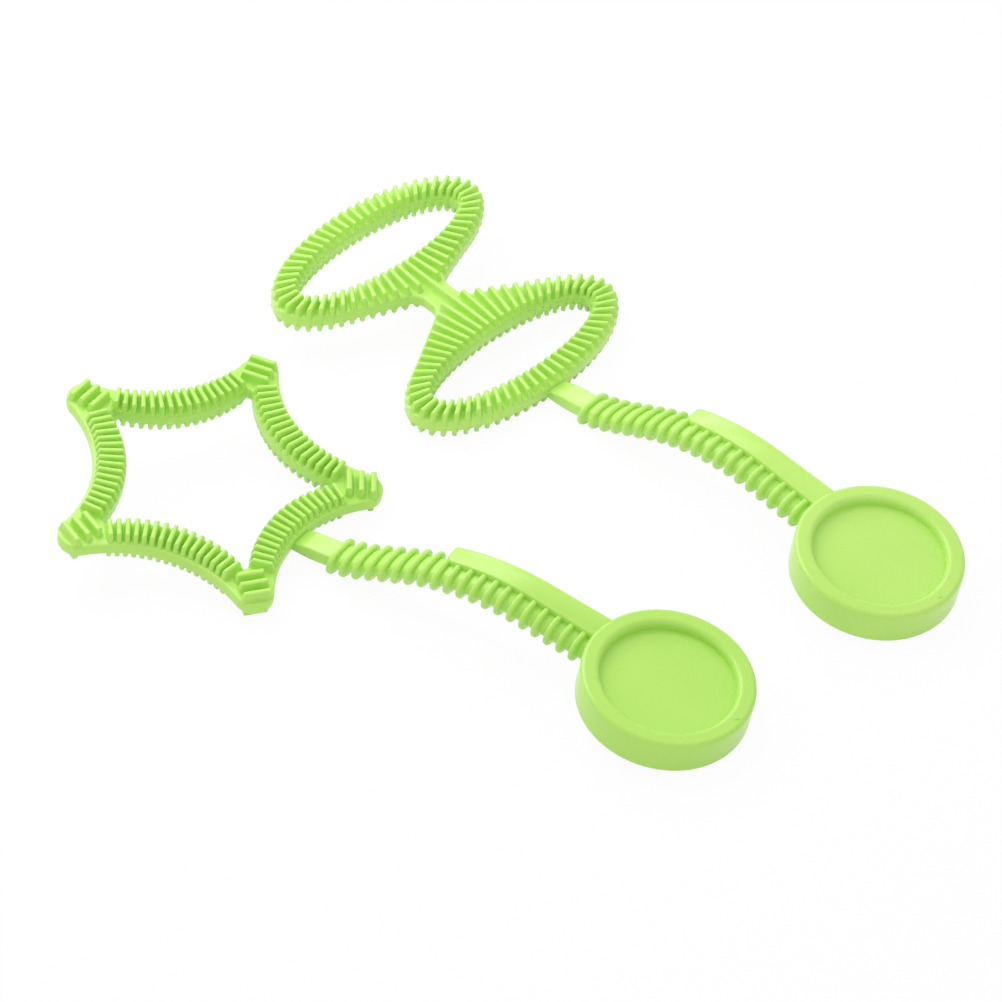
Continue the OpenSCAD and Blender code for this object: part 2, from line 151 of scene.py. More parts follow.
def loft(rings, ends=True):
    """Skin over rings of equal count, closed by a cap at each end, or round on itself."""
    count, each = len(rings), len(rings[0])
    points = [tuple(p) for ring in rings for p in ring]
    faces = bands(0, count, each, closed=not ends)
    if ends:
        last = (count - 1) * each
        faces += [tuple(range(each - 1, -1, -1)), tuple(last + j for j in range(each))]
    return points, faces


def quarter(steps):
    """Angles of a quarter turn, both ends included."""
    return np.linspace(0, math.pi / 2, steps)


def rounded_outline(corners, steps=6, lead=0.12):
    """Closed outline through (x, y, radius) corners, each turned on an arc. A point just outside
    each arc keeps the flats flat under smooth shading."""
    points = []
    for i, (x, y, radius) in enumerate(corners):
        here = np.array((x, y))
        back = np.array(corners[i - 1][:2]) - here
        ahead = np.array(corners[(i + 1) % len(corners)][:2]) - here
        back, ahead = back / np.linalg.norm(back), ahead / np.linalg.norm(ahead)
        half = math.acos(max(-1.0, min(1.0, float(back @ ahead)))) / 2
        reach = radius / math.tan(half)
        middle = (back + ahead) / np.linalg.norm(back + ahead)
        centre = here + middle * radius / math.sin(half)
        start, stop = here + back * reach - centre, here + ahead * reach - centre
        first = math.atan2(start[1], start[0])
        sweep = math.remainder(math.atan2(stop[1], stop[0]) - first, math.tau)
        turns = [first + sweep * k / steps for k in range(steps + 1)]
        points.append(here + back * (reach + lead))
        points += [centre + radius * np.array((math.cos(t), math.sin(t))) for t in turns]
        points.append(here + ahead * (reach + lead))
    return np.array(points)


def lathe(profile, segments=160):
    """Closed profile of (radius, height) points turned round the dish's upright axis."""
    rings = []
    for k in range(segments):
        turn = math.tau * k / segments
        rings.append([(DISH_AT + r * math.cos(turn), r * math.sin(turn), z) for r, z in profile])
    return loft(rings, ends=False)


def rounds(profile, at, segments):
    """Circles of the given (radius, height) round an upright axis at a distance along the wand."""
    turns = np.linspace(0, math.tau, segments, endpoint=False)
    return loft([[(at + r * math.cos(t), r * math.sin(t), z) for t in turns] for r, z in profile])


def even_loop(points, spacing, blur):
    """A closed plan outline with evenly spaced points, its corners blended by a blur in mm."""
    points = np.array(points)
    ring = np.vstack([points, points[:1]])
    run = np.concatenate([[0], np.cumsum(np.linalg.norm(np.diff(ring, axis=0), axis=1))])
    count = int(round(run[-1] / spacing))
    at = np.arange(count) * run[-1] / count
    even = np.stack([np.interp(at, run, ring[:, i]) for i in range(2)], axis=1)
    step = run[-1] / count
    reach = int(math.ceil(3 * blur / step))
    weights = np.exp(-0.5 * (np.arange(-reach, reach + 1) * step / blur) ** 2)
    weights /= weights.sum()
    return sum(w * np.roll(even, k, axis=0) for w, k in zip(weights, range(-reach, reach + 1)))


def outward(loop):
    """Unit normals of a counter-clockwise loop, pointing out."""
    along = np.roll(loop, -1, axis=0) - np.roll(loop, 1, axis=0)
    along /= np.linalg.norm(along, axis=1)[:, None]
    return np.stack([along[:, 1], -along[:, 0]], axis=1)


def slab(outline, hole, bottom, top, edge):
    """Flat plate with one hole, or none, and rounded edges."""
    arc = [(edge * (1 - math.sin(a)), edge * (1 - math.cos(a))) for a in quarter(6)]
    levels = [(edge + FLAT_LEAD, bottom)] + [(inset, bottom + up) for inset, up in arc]
    levels += [(inset, top - down) for down, inset in arc] + [(edge + FLAT_LEAD, top)]
    points, faces, rims = [], [], []
    for loop, sign in ((outline, -1), (hole, 1)):
        if loop is None:
            continue
        normal = outward(loop)
        first, each = len(points), len(loop)
        for inset, z in levels:
            moved = loop + sign * normal * inset
            points += [(x, y, z) for x, y in moved]
        faces += bands(first, len(levels), each)
        rims.append((first, first + (len(levels) - 1) * each, each))
    for which in (0, 1):
        index = [rim[which] + j for rim in rims for j in range(rim[2])]
        edges = [[Vector(points[rim[which] + j]) for j in range(rim[2])] for rim in rims]
        faces += [tuple(index[i] for i in triangle) for triangle in tessellate_polygon(edges)]
    return points, faces


# ------------------------------------------------------------ head ribs
BAND_EDGE = 0.85        # rounding of the band's edges
SINK = 1.3              # how deep a rib's root is buried
CREST_EDGE = 0.58       # rounding of a rib's crest
ROOT_SPREAD = 0.6       # a rib's root is wider than its crest by this on each side
ROOT_SHARES = ((0.55, 0.05), (0.25, 0.17), (0.1, 0.45))     # fillet, of the spread and the height
RIB_RUN = 1.05          # a rib's end comes down to the band over this length
RUN_SHARES = (0, 0.12, 0.3, 0.5, 0.68, 0.82, 0.93, 1.0, 1.15)
RUN_POWER = 1.6         # how full the end's curve is
END_BASE, END_CREST, END_H = 0.8, 0.6, 0.02     # left at the very end, of root, crest and height
CREST_OF_PITCH = 0.37   # where ribs crowd, half a crest is at most this share of the pitch


def rib_section(crest, base, height):
    """Across a rib: buried root, steep flank with a fillet in the valley, and a round crest."""
    edge = min(CREST_EDGE, 0.85 * crest)
    right = [(base, -SINK), (base, 0.0)]
    right += [(crest + (base - crest) * out, height * up) for out, up in ROOT_SHARES]
    right += [
        (crest - edge * (1 - math.cos(a)), height - edge * (1 - math.sin(a)))
        for a in np.linspace(0.1, math.pi / 2, 6)
    ]
    return [(-y, z) for y, z in right] + [(y, z) for y, z in right[::-1]]


def head_rib(start, end, crest, pitches, insets, side, height=RIB_H, ramp=RIB_RUN):
    """A rib between two plan points on the band's top (side 1) or underside (side -1). The pitches
    are the distances to the next rib at its two ends, and set how far its roots may spread."""
    start, end = np.array(start), np.array(end)
    run = end - start
    run /= np.linalg.norm(run)
    start, end = start + run * insets[0], end - run * insets[1]
    length = np.linalg.norm(end - start)
    across = np.array((-run[1], run[0]))
    slope = [ramp * share for share in RUN_SHARES]
    stations = slope + [length / 3, length * 2 / 3] + [length - s for s in slope[::-1]]
    rings = []
    for s in stations:
        share = min(1.0, min(s, length - s) / ramp)
        full = 1 - (1 - share) ** RUN_POWER
        pitch = pitches[0] + (pitches[1] - pitches[0]) * s / length
        base = min(0.5 * pitch, crest + ROOT_SPREAD) * (END_BASE + (1 - END_BASE) * full)
        top = min(crest, CREST_OF_PITCH * pitch) * (END_CREST + (1 - END_CREST) * full)
        section = rib_section(top, base, height * (END_H + (1 - END_H) * full))
        centre = start + run * s
        rings.append([(*(centre + across * y), side * (BAND_TOP + z)) for y, z in section])
    return loft(rings)


def rib_row(ribs, side):
    return join([head_rib(*rib[:5], side, *rib[5:]) for rib in ribs])


# ------------------------------------------------------------ star head
SIDE, HALF_SIDE = 72.0, 36.0
STAR_BOW = STAR_OUTER_AT + STAR_OUTER_R
STAR_INNER_BOW = STAR_INNER_AT + STAR_INNER_R
STAR_BLUR, STAR_HOLE_BLUR = 0.55, 0.6           # how softly the band's corners turn
TIP_BACK, TIP_BLUNT = 1.0, 0.93                 # the tips are blunter than the source's, same reach
STAR_CREST, TIP_CREST = 0.47, 0.4               # half a crest's width, as shares of a rib's
STAR_INSETS = (0.8, 0.1)                        # ribs stop short of the outer and the inner edge
TIP_RUN, TIP_LOWER, TIP_SHORTER = 0.8, 0.3, 1.5


def polar(radius, degrees):
    return radius * np.array((math.cos(math.radians(degrees)), math.sin(math.radians(degrees))))


def star_outline():
    """Five inward bows that run into round tips."""
    tip_at, tip_r = STAR_TIP_AT - TIP_BACK, STAR_TIP_R + TIP_BLUNT
    bow, tip = np.array((STAR_BOW, 0.0)), polar(tip_at, HALF_SIDE)
    to_tip = tip - bow
    gap = np.linalg.norm(to_tip)
    lean = math.degrees(math.atan2(to_tip[1], -to_tip[0]))
    nearer = (STAR_OUTER_R ** 2 + gap ** 2 - tip_r ** 2) / (2 * STAR_OUTER_R * gap)
    lean -= math.degrees(math.acos(nearer))
    across, up = -math.cos(math.radians(lean)), math.sin(math.radians(lean))
    meet = bow + STAR_OUTER_R * np.array((across, up)) - tip
    swing = HALF_SIDE - math.degrees(math.atan2(meet[1], meet[0]))
    points = []
    for k in range(5):
        centre, heading = polar(STAR_BOW, k * SIDE), k * SIDE + HALF_SIDE
        points += [centre - polar(STAR_OUTER_R, k * SIDE - a) for a in np.linspace(-lean, lean, 80)]
        end = polar(tip_at, heading)
        points += [end + polar(tip_r, heading + a) for a in np.linspace(-swing, swing, 40)]
    return even_loop(points, PLAN_STEP, STAR_BLUR)


def star_hole():
    """Five bows that meet in short blunt corners."""
    at, r, rho = STAR_INNER_BOW, STAR_INNER_R, STAR_HOLE_R
    lean = math.degrees(math.acos((at ** 2 + r ** 2 - rho ** 2) / (2 * at * r)))
    corner = math.degrees(math.acos((at ** 2 + rho ** 2 - r ** 2) / (2 * at * rho)))
    points = []
    for k in range(5):
        centre = polar(at, k * SIDE)
        points += [centre - polar(r, k * SIDE - a) for a in np.linspace(-lean, lean, 70)]
        points += [polar(rho, k * SIDE + a) for a in np.linspace(corner, SIDE - corner, 6)]
    return even_loop(points, HOLE_STEP, STAR_HOLE_BLUR)


def star_side_ribs():
    """Sixteen ribs on each arm, square to its outer edge."""
    ribs = []
    apart = STAR_BOW - STAR_INNER_BOW
    step = STAR_RIB_PITCH / STAR_OUTER_R
    for k in range(5):
        bow = polar(STAR_BOW, k * SIDE)
        for i in range(STAR_RIBS):
            angle = (i - (STAR_RIBS - 1) / 2) * step
            inner = apart * math.cos(angle)
            inner += math.sqrt(STAR_INNER_R ** 2 - (apart * math.sin(angle)) ** 2)
            degrees = k * SIDE - math.degrees(angle)
            ribs.append((
                bow - polar(STAR_OUTER_R, degrees), bow - polar(inner, degrees),
                STAR_CREST * STAR_RIB_T, (STAR_OUTER_R * step, inner * step), STAR_INSETS,
            ))
    return ribs


def star_tip_ribs(tips, shorter=0.0):
    """Three blunt ribs across each tip. The outermost is a little lower, and under the tips the
    inner two are shorter."""
    ribs = []
    for k in tips:
        heading = k * SIDE + HALF_SIDE
        half = polar(TIP_RIB_L / 2, heading + 90)
        for i in range(TIP_RIBS):
            middle = polar(STAR_TIP_AT + (0.5 - i) * TIP_RIB_PITCH, heading)
            inset, lower = (shorter, 0) if i else (shorter / 3, TIP_LOWER)
            ribs.append((
                middle - half, middle + half, TIP_CREST * TIP_RIB_T, (TIP_RIB_PITCH, TIP_RIB_PITCH),
                (inset, inset), RIB_H - lower, TIP_RUN,
            ))
    return ribs


def star_head():
    wand = "star_wand"
    band = slab(star_outline(), star_hole(), -BAND_TOP, BAND_TOP, BAND_EDGE)
    piece("star_band", wand, band, "star_frame", head=True)
    top = rib_row(star_side_ribs() + star_tip_ribs(range(5)), 1)
    piece("star_ribs_above", wand, top, "star_top_ribs", head=True)
    under = rib_row(star_side_ribs() + star_tip_ribs((1, 2, 3), TIP_SHORTER), -1)
    piece("star_ribs_below", wand, under, "star_bottom_ribs", head=True)
    feet = rib_row(star_tip_ribs((-1, 0), TIP_SHORTER), -1)
    piece("star_rest_ribs", wand, feet, "star_foot_ribs", head=True)


# ------------------------------------------------------------ loop head
OUTER_A, OUTER_B = HOLE_A + OVAL_BAND, HOLE_B + OVAL_BAND
FAR_OVAL_AT = NEAR_OVAL_AT - OVAL_GAP
FLARE = {"near": OUTER_A + NEAR_FLARE, "far": OUTER_A + FAR_FLARE}
# Where each oval lies, and the way that its flare points
OVAL_PLACE = {"near": (NEAR_OVAL_AT, -1), "far": (FAR_OVAL_AT, 1)}
OVAL_BLUR, OVAL_HOLE_BLUR = 0.5, 0.2
OVAL_CREST = 0.37 * OVAL_RIB_T                  # half a crest's width
OVAL_INSETS = (0.12, 0.25)                      # ribs stop short of the hole and the outer edge
LEAST_PITCH = 1.2
WAIST_PITCH, WAIST_INSETS = 2.6, (0.2, 0.2)     # the one rib along the waist
WAIST_FILLET, WAIST_SINK = 5.0, 3.2             # at the waist's corners; into the bands
WAIST_ROUNDS = (1.6, 1.5, WAIST_FILLET)


def oval_angles():
    """Angles of the ribs, evenly spaced along the oval's outer edge."""
    turns = np.linspace(0, math.tau, 721)
    mid = (turns[1:] + turns[:-1]) / 2
    speed = np.hypot(OUTER_A * np.sin(mid), OUTER_B * np.cos(mid)) * np.diff(turns)
    run = np.concatenate([[0], np.cumsum(speed)])
    return np.interp(np.arange(OVAL_RIBS) * run[-1] / OVAL_RIBS, run, turns)


def on_oval(a, b, turns):
    return [(a * math.cos(t), b * math.sin(t)) for t in turns]


def oval_outline(flare):
    """Ellipse whose sides run on to a point, where the waist joins."""
    leave = math.acos(OUTER_A / flare)
    points = [(flare, 0.0)]
    points += on_oval(OUTER_A, OUTER_B, np.linspace(leave, math.tau - leave, 240))
    return even_loop(points, PLAN_STEP, OVAL_BLUR)


def oval_hole():
    points = on_oval(HOLE_A, HOLE_B, np.linspace(0, math.tau, 240, endpoint=False))
    return even_loop(points, HOLE_STEP, OVAL_HOLE_BLUR)


def flare_reach(t, flare):
    """Where a rib meets the flare's edge, as a share of the way from the hole to the oval's."""
    share = OUTER_A / flare
    edge = np.array((flare - OUTER_A * share, OUTER_B * math.sqrt(1 - share ** 2)))
    hole = (HOLE_A * math.cos(t), HOLE_B * abs(math.sin(t)))
    along = (OVAL_BAND * math.cos(t), OVAL_BAND * abs(math.sin(t)))
    cross_hole = edge[0] * hole[1] - edge[1] * (flare - hole[0])
    cross_along = edge[0] * along[1] + edge[1] * along[0]
    flared = math.cos(t) > share and cross_along > 0
    return max(1.0, -cross_hole / cross_along) if flared else 1.0


def oval_ribs(which, first, last):
    """Ribs round one oval, in the wand's plan. The near oval's flare points the other way."""
    turns, flare = oval_angles(), FLARE[which]
    at, facing = OVAL_PLACE[which]

    def ends(i):
        t = turns[i % OVAL_RIBS]
        out = np.array((math.cos(t), math.sin(t)))
        hole = np.array((HOLE_A, HOLE_B)) * out
        edge = hole + OVAL_BAND * flare_reach(t, flare) * out
        return [np.array((at + facing * x, y)) for x, y in (hole, edge)]

    ribs = []
    for i in range(first, last + 1):
        start, stop = ends(i)
        run = (stop - start) / np.linalg.norm(stop - start)
        gaps = []
        for end in (0, 1):
            steps = [ends(i + n)[end] - (start, stop)[end] for n in (1, -1)]
            gap = min(abs(run[0] * s[1] - run[1] * s[0]) for s in steps)
            gaps.append(max(LEAST_PITCH, gap))
        ribs.append((start, stop, OVAL_CREST, gaps, OVAL_INSETS))
    return ribs


def waist_outline():
    """Plan of the bar between the ovals: a concave fillet at each corner, ends inside the bands."""
    side, shy = WAIST_W / 2, 0.04
    ends = []
    for which, (at, facing) in OVAL_PLACE.items():
        flare = FLARE[which]
        share = OUTER_A / flare
        out = np.array((OUTER_B * math.sqrt(1 - share ** 2), flare - OUTER_A * share))
        out /= np.linalg.norm(out)
        corner = np.array(((out[0] * flare - shy - out[1] * side) / out[0], side))
        up_edge = corner + WAIST_FILLET * np.array((-out[1], out[0]))
        inside = up_edge - WAIST_SINK * out
        places = zip((inside, up_edge, corner), WAIST_ROUNDS)
        ends.append([(at + facing * x, y, r) for (x, y), r in places])
    upper = ends[0] + ends[1][::-1]
    return rounded_outline(upper + [(x, -y, r) for x, y, r in upper[::-1]], steps=10)


def loop_head():
    wand = "loop_wand"
    for which in ("far", "near"):
        band = slab(oval_outline(FLARE[which]), oval_hole(), -BAND_TOP, BAND_TOP, BAND_EDGE)
        band = shifted(band, *OVAL_PLACE[which])
        piece(f"{which}_oval_band", wand, band, f"loop_{which}_oval", head=True)
    shy = BAND_TOP - 0.02
    waist = slab(even_loop(waist_outline(), HOLE_STEP, OVAL_HOLE_BLUR), None, -shy, shy, BAND_EDGE)
    piece("waist_bar", wand, waist, "loop_waist", head=True)
    centre = (
        (FAR_OVAL_AT + HOLE_A, 0.0), (NEAR_OVAL_AT - HOLE_A, 0.0), OVAL_CREST,
        (WAIST_PITCH, WAIST_PITCH), WAIST_INSETS,
    )
    foot_first = (OVAL_RIBS - FOOT_RIBS + 1) // 2
    foot_last = foot_first + FOOT_RIBS - 1
    last = OVAL_RIBS - 1
    top = oval_ribs("far", 1, last) + oval_ribs("near", 1, last) + [centre]
    piece("loop_ribs_above", wand, rib_row(top, 1), "loop_top_ribs", head=True)
    under = oval_ribs("far", 1, last) + oval_ribs("near", 1, foot_first - 1)
    under += oval_ribs("near", foot_last + 1, last) + [centre]
    piece("loop_ribs_below", wand, rib_row(under, -1), "loop_bottom_ribs", head=True)
    feet = rib_row(oval_ribs("near", foot_first, foot_last), -1)
    piece("loop_rest_ribs", wand, feet, "loop_foot_ribs", head=True)


# ------------------------------------------------------------ handle
HANDLE_Z = CRANK_Z + CRANK_RISE
SLOPE_AT = CRANK_AT + LOW_BEND * math.sin(CRANK_ANGLE)
SLOPE_Z = CRANK_Z + LOW_BEND * (1 - math.cos(CRANK_ANGLE))
BENDS_RISE = (LOW_BEND + HIGH_BEND) * (1 - math.cos(CRANK_ANGLE))
SLOPE_LEN = (CRANK_RISE - BENDS_RISE) / math.tan(CRANK_ANGLE)
TOP_BEND_AT = SLOPE_AT + SLOPE_LEN
LEVEL_AT = TOP_BEND_AT + HIGH_BEND * math.sin(CRANK_ANGLE)
INTO_DISH = 2.2                                 # grip and spine run this far into the dish's rim
HANDLE_STEP, NECK_STEP = 1.0, 0.8

NECK_LOW, NECK_EDGE = 0.4, 0.8                  # cut back from its underside; its edges' rounding
NECK_START, NECK_FROM = 1.6, 0.4                # how far before the head's edge it starts
SADDLE_DIP, SADDLE_LEN = 1.3, 6.5               # the top's dip where it leaves the head
NECK_SHARE, NECK_GAIN = 0.9, 0.06               # its width there, and what it gains by the grip

# A finger rib, as places past half its thickness and heights from its crest, root first. Its
# crest stands a little further out than the source's
RING_WIDER, RING_HIGHER = 0.8, 0.6
RING_ROOT = ((0.5, -2.6), (0.5, -2.0), (0.2, -1.75), (0.08, -1.3))
RING_CREST = 0.68

NOSE, NOSE_STEPS, NOSE_NEAR = 3.6, 18, 0.9      # the spine's blunt start, far side and near side
# The spine's low edge stands SPINE_LIP above the finger ribs. Its walls end inside the grip,
# SPINE_FOOT above the centre line and SPINE_ROOT below the low edge
SPINE_LIP, SPINE_FOOT, SPINE_ROOT = 0.95, 1.2, 1.4
SPINE_FAR_R, SPINE_NEAR_R = 1.3, 0.55           # rounding of its high and its low edge
SPINE_BOW, SPINE_BOW_STEPS = 1.7, np.linspace(0.1, 0.95, 10)    # its slope from high to low
FIRST_SHARE, FIRST_LEN = 0.84, 1.2              # its height at the very start


def centre_z(x):
    """Height of the handle's centre line: level, bend up, slope, bend level."""
    if x <= CRANK_AT:
        return CRANK_Z
    if x <= SLOPE_AT:
        return CRANK_Z + LOW_BEND - math.sqrt(LOW_BEND ** 2 - (x - CRANK_AT) ** 2)
    if x <= TOP_BEND_AT:
        return SLOPE_Z + (x - SLOPE_AT) * math.tan(CRANK_ANGLE)
    if x <= LEVEL_AT:
        return HANDLE_Z - HIGH_BEND + math.sqrt(HIGH_BEND ** 2 - (LEVEL_AT - x) ** 2)
    return HANDLE_Z


def oblong(width, height, power, count=44):
    """Closed outline between an ellipse (power 2) and a rectangle, with its outward normals."""
    a, b = width / 2, height / 2
    turns = np.linspace(0, math.tau, count, endpoint=False)
    c, s = np.cos(turns), np.sin(turns)
    sides = np.sign(c), np.sign(s)
    points = np.stack([
        a * sides[0] * np.abs(c) ** (2 / power), b * sides[1] * np.abs(s) ** (2 / power),
    ], axis=1)
    normals = np.stack([
        sides[0] * np.abs(c) ** (2 - 2 / power) / a, sides[1] * np.abs(s) ** (2 - 2 / power) / b,
    ], axis=1)
    return points, normals / np.linalg.norm(normals, axis=1)[:, None]


def grip_bar():
    """Oval core of the grip along the centre line."""
    section = oblong(CORE_W, CORE_H, 2.5)[0]
    xs = np.arange(GRIP_AT - GRIP_T / 2, DISH_AT - DISH_R + INTO_DISH, HANDLE_STEP)
    return loft([[(x, y, centre_z(x) + z) for y, z in section] for x in xs])


def neck_bar():
    """Flat bar with crisp rounded edges, whose top dips to a saddle where it leaves the head."""
    xs = np.arange(LOOP_EDGE - NECK_FROM, GRIP_AT, NECK_STEP).tolist()
    xs = [LOOP_EDGE - NECK_START] + xs + [GRIP_AT]
    half, low, high = NECK_W / 2, NECK_LOW - NECK_H / 2, NECK_H / 2
    corners = ((half, low), (half, high), (-half, high), (-half, low))
    section = rounded_outline([(y, z, NECK_EDGE) for y, z in corners])
    rings = []
    for x in xs:
        away = min(1.0, max(0.0, x - LOOP_EDGE + NECK_FROM) / SADDLE_LEN)
        dip = SADDLE_DIP * (1 - away * away * (3 - 2 * away))
        wide = NECK_SHARE + NECK_GAIN * away
        rings.append([
            (x, y * wide, centre_z(x) + z - dip * (z - low) / (high - low)) for y, z in section
        ])
    return loft(rings)


def grip_ring(x):
    """One finger rib: a slender oval collar with a round crest and a small fillet at its root."""
    path, normals = oblong(GRIP_W + RING_WIDER, GRIP_H + RING_HIGHER, 2.4, 64)
    half = 0.5 * GRIP_T
    right = [(half + out, up) for out, up in RING_ROOT]
    right += [
        (half - RING_CREST * (1 - math.cos(a)), -RING_CREST * (1 - math.sin(a))) for a in quarter(7)
    ]
    section = [(-dx, o) for dx, o in right] + [(dx, o) for dx, o in right[::-1]]
    z0 = centre_z(x)
    return loft([
        [(x + dx, y + ny * o, z0 + z + nz * o) for dx, o in section]
        for (y, z), (ny, nz) in zip(path, normals)
    ], ends=False)


def spine():
    """The smooth thumb rest on the grip's far half: a pillow that slopes from its high far edge
    to a low near edge just above the finger ribs, with a blunt round nose."""
    far_r, near_r, foot, near = SPINE_FAR_R, SPINE_NEAR_R, SPINE_FOOT, GRIP_H / 2 + SPINE_LIP
    length = DISH_AT - DISH_R - SPINE_AT
    stop = DISH_AT - DISH_R + INTO_DISH
    xs = [SPINE_AT + NOSE * (1 - math.cos(a)) for a in quarter(NOSE_STEPS)]
    xs += np.arange(SPINE_AT + NOSE + 0.8, stop, HANDLE_STEP).tolist() + [stop]

    def corner(d, radius):
        return radius * (1 - math.sqrt(1 - (1 - min(1.0, d / radius)) ** 2))

    rings = []
    for x in xs:
        d = x - SPINE_AT
        top = GRIP_H / 2 + SPINE_START + (SPINE_END - SPINE_START) * min(1.0, d / length)
        reach = SPINE_W - far_r - near_r
        section = [(SPINE_W, foot), (SPINE_W, (foot + top - far_r) / 2)]
        section += [
            (SPINE_W - far_r * (1 - math.cos(a)), top - far_r * (1 - math.sin(a)))
            for a in np.linspace(0, 1.4, 8)
        ]
        section += [
            (SPINE_W - far_r - reach * t, top - (top - near) * t ** SPINE_BOW)
            for t in SPINE_BOW_STEPS
        ]
        section += [
            (near_r * (1 - math.sin(a)), near - near_r * (1 - math.cos(a)))
            for a in np.linspace(0.2, math.pi / 2, 6)
        ]
        section += [(0.0, near - SPINE_ROOT), (0.0, foot)]
        left, right = corner(d, NOSE), SPINE_W - corner(d, NOSE_NEAR)
        rise = math.sqrt(1 - (1 - min(1.0, d / FIRST_LEN)) ** 2)
        share = FIRST_SHARE + (1 - FIRST_SHARE) * rise
        rings.append([
            (x, SPINE_EDGE + left + (right - left) * y / SPINE_W,
             centre_z(x) + foot + (z - foot) * share)
            for y, z in section
        ])
    return loft(rings)


# ------------------------------------------------------------ dish
DISH_BOTTOM = HANDLE_Z + DISH_DROP
DISH_TOP = DISH_BOTTOM + DISH_H
FLOOR_TOP = DISH_TOP - RECESS
RECESS_R = DISH_R - RIM_W
RIM_ROUNDS = (1.0, 1.35, 1.7, 1.4)              # outer bottom, outer top, inner top, inner bottom
FLOOR_SINK, FLOOR_EDGE = 0.5, 0.1               # into the rim; rounding of the buried edge
GATE_SHARE = 0.47                               # its place across the rim, from the outside
GATE_PROFILE = (
    (0.8, -0.4), (0.8, 0.02), (0.72, 0.16), (0.56, 0.25),
    (0.42, 0.26), (0.28, 0.21), (0.14, 0.19), (0.05, 0.18),
)


def dish_rim():
    corners = (
        (DISH_R, DISH_BOTTOM), (DISH_R, DISH_TOP), (RECESS_R, DISH_TOP), (RECESS_R, DISH_BOTTOM),
    )
    return lathe(rounded_outline([(*at, r) for at, r in zip(corners, RIM_ROUNDS)], steps=8))


def dish_floor():
    """Flat disc, its edge buried in the rim."""
    low, high, r, edge = FLOOR_TOP - FLOOR_T, FLOOR_TOP, RECESS_R + FLOOR_SINK, FLOOR_EDGE
    profile = (
        (r - 2 * edge, low), (r, low), (r + edge, low + edge),
        (r + edge, high - edge), (r, high), (r - 2 * edge, high),
    )
    return rounds(profile, DISH_AT, 160)


def gate_mark():
    """The stub left where the runner was twisted off: a low ring round a shallow pit."""
    profile = [(r, DISH_TOP + up) for r, up in GATE_PROFILE]
    return rounds(profile, DISH_AT + DISH_R - GATE_SHARE * RIM_W, 28)


def handle(wand, short):
    piece(short + "_neck_bar", wand, neck_bar(), short + "_neck")
    piece(short + "_grip_bar", wand, grip_bar(), short + "_grip_core")
    rings = join([grip_ring(GRIP_AT + i * GRIP_PITCH) for i in range(GRIP_RIBS)])
    piece(short + "_finger_ribs", wand, rings, short + "_grip_ribs")
    piece(short + "_thumb_rest", wand, spine(), short + "_grip_spine")
    piece(short + "_rim_ring", wand, dish_rim(), short + "_dish_rim")
    piece(short + "_floor_disc", wand, dish_floor(), short + "_dish_floor")
    piece(short + "_gate_stub", wand, gate_mark(), short + "_gate_mark")


# ------------------------------------------------------------ finish
def colour(code):
    """sRGB hex to the linear colour that a socket takes."""
    parts = [int(code[i:i + 2], 16) / 255 for i in (1, 3, 5)]
    return (*[c / 12.92 if c <= 0.04045 else ((c + 0.055) / 1.055) ** 2.4 for c in parts], 1.0)


def add(tree, kind, inputs=(), **settings):
    """A node with its settings; an input given as a socket is linked to it."""
    made = tree.nodes.new(kind)
    for key, value in settings.items():
        setattr(made, key, value)
    for key, value in dict(inputs).items():
        if isinstance(value, bpy.types.NodeSocket):
            tree.links.new(value, made.inputs[key])
        else:
            made.inputs[key].default_value = value
    return made


def moulded_polypropylene(name, light, deep):
    """Polypropylene, injection moulded in a satin mould and coloured through: soft broad
    highlights on every crest, faint flow clouding, and no clear coat."""
    material = bpy.data.materials.new(name)
    material.use_nodes = True
    tree = material.node_tree
    tree.nodes.clear()
    place = add(tree, "ShaderNodeTexCoord").outputs["Object"]
    # Flow clouding about 30 mm across, stretched along the handle
    along = add(tree, "ShaderNodeMapping", {"Vector": place, "Scale": (0.5, 1.0, 1.0)})
    cloud = add(tree, "ShaderNodeTexNoise", {
        "Vector": along.outputs[0], "Scale": 1 / 0.030, "Detail": 3.0, "Roughness": 0.55,
    })
    spread = add(tree, "ShaderNodeMapRange", {
        "Value": cloud.outputs["Fac"], "From Min": 0.2, "From Max": 0.8,
    })
    base = add(tree, "ShaderNodeMix", {
        "Factor": spread.outputs[0], 6: colour(light), 7: colour(deep),
    }, data_type="RGBA")
    # The mould's polish is uneven over 12 mm or so: some patches are a little more satin
    polish = add(tree, "ShaderNodeTexNoise", {"Vector": place, "Scale": 1 / 0.012, "Detail": 0.0})
    satin = add(tree, "ShaderNodeMapRange", {
        "Value": polish.outputs["Fac"], "From Min": 0.0, "From Max": 1.0,
        "To Min": 0.255, "To Max": 0.295,
    })
    skin = add(tree, "ShaderNodeBsdfPrincipled", {
        "Base Color": base.outputs[2], "Roughness": satin.outputs[0], "IOR": 1.49,
    })
    add(tree, "ShaderNodeOutputMaterial", {"Surface": skin.outputs[0]})
    return material


# ------------------------------------------------------------ studio
def seen(tree):
    """1 for what the camera sees straight, in a gloss or through the plastic, and 0 for the light
    that falls on the wands."""
    rays = add(tree, "ShaderNodeLightPath").outputs
    straight = add(tree, "ShaderNodeMath", {
        0: rays["Is Camera Ray"], 1: rays["Is Glossy Ray"],
    }, operation="MAXIMUM")
    return add(tree, "ShaderNodeMath", {
        0: straight.outputs[0], 1: rays["Is Transmission Ray"],
    }, operation="MAXIMUM").outputs[0]


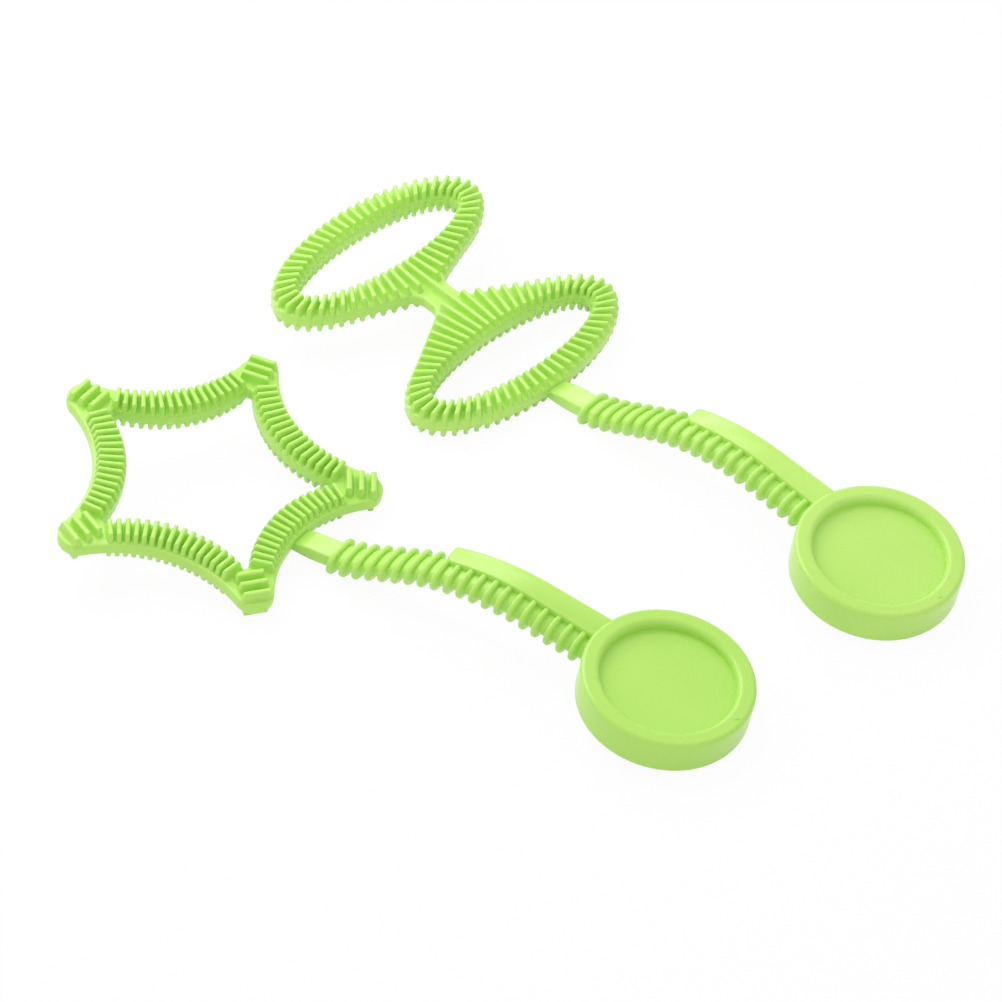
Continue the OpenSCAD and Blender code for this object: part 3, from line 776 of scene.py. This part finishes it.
def camera():
    """At the photograph's viewing angle and framing."""
    made = bpy.data.objects.new("camera", bpy.data.cameras.new("camera"))
    bpy.context.scene.collection.objects.link(made)
    made.data.sensor_width = 36.0
    made.data.lens = 146.393
    made.matrix_world = Matrix((
        (0.825798, -0.353312, 0.439578, 0.51840436),
        (0.563327, 0.553854, -0.613113, -0.737262493),
        (-0.026842, 0.753934, 0.656402, 0.787452441),
        (0, 0, 0, 1),
    ))
    made.data.clip_start, made.data.clip_end = 0.05, 20.0
    bpy.context.scene.camera = made


def paper_floor():
    """A sheet of white paper that keeps the wands' shadow, and otherwise reads as pure white."""
    half = 2.0
    mesh = bpy.data.meshes.new("floor")
    corners = [(-half, -half, 0), (half, -half, 0), (half, half, 0), (-half, half, 0)]
    mesh.from_pydata(corners, [], [(0, 1, 2, 3)])
    floor = bpy.data.objects.new("floor", mesh)
    bpy.context.scene.collection.objects.link(floor)
    material = bpy.data.materials.new("white_paper_sweep")
    material.use_nodes = True
    tree = material.node_tree
    tree.nodes.clear()
    share = add(tree, "ShaderNodeMath", {0: seen(tree), 1: 0.95}, operation="MULTIPLY")
    paper = add(tree, "ShaderNodeBsdfDiffuse", {"Color": colour("#F4F4F4")})
    white = add(tree, "ShaderNodeEmission", {"Color": (1, 1, 1, 1), "Strength": 1.0})
    mixed = add(tree, "ShaderNodeMixShader", {
        0: share.outputs[0], 1: paper.outputs[0], 2: white.outputs[0],
    })
    add(tree, "ShaderNodeOutputMaterial", {"Surface": mixed.outputs[0]})
    mesh.materials.append(material)


def soft_light():
    """An even white room with three softboxes: one behind on the left for the highlights, one in
    front on the right for the dishes' walls, and one over the heads for their crests."""
    world = bpy.data.worlds.new("studio")
    bpy.context.scene.world = world
    world.use_nodes = True
    tree = world.node_tree
    tree.nodes.clear()
    level = add(tree, "ShaderNodeMapRange", {"Value": seen(tree), "To Min": 0.74, "To Max": 1.0})
    air = add(tree, "ShaderNodeBackground", {"Color": (1, 1, 1, 1), "Strength": level.outputs[0]})
    add(tree, "ShaderNodeOutputWorld", {"Surface": air.outputs[0]})
    for name, place, size, power in (
        ("softbox_back_left", (-0.73, 0.84, 0.75), 0.3, 1.3),
        ("softbox_front_right", (0.9, -0.35, 0.9), 0.6, 0.6),
        ("softbox_over_heads", (-0.28, 0.02, 0.4), 0.4, 1.3),
    ):
        lamp = bpy.data.lights.new(name, "AREA")
        lamp.size, lamp.energy = size, power
        light = bpy.data.objects.new(name, lamp)
        bpy.context.scene.collection.objects.link(light)
        light.location = place
        light.rotation_euler = (-Vector(place)).to_track_quat("-Z", "Y").to_euler()


PLASTIC["star_wand"] = moulded_polypropylene("moulded_polypropylene_star", "#BCEA6C", "#B3E462")
PLASTIC["loop_wand"] = moulded_polypropylene("moulded_polypropylene_loop", "#C3EE75", "#BAE86A")
camera()
paper_floor()
soft_light()
bpy.context.scene.view_settings.view_transform = "Standard"
star_head()
loop_head()
handle("star_wand", "star")
handle("loop_wand", "loop")
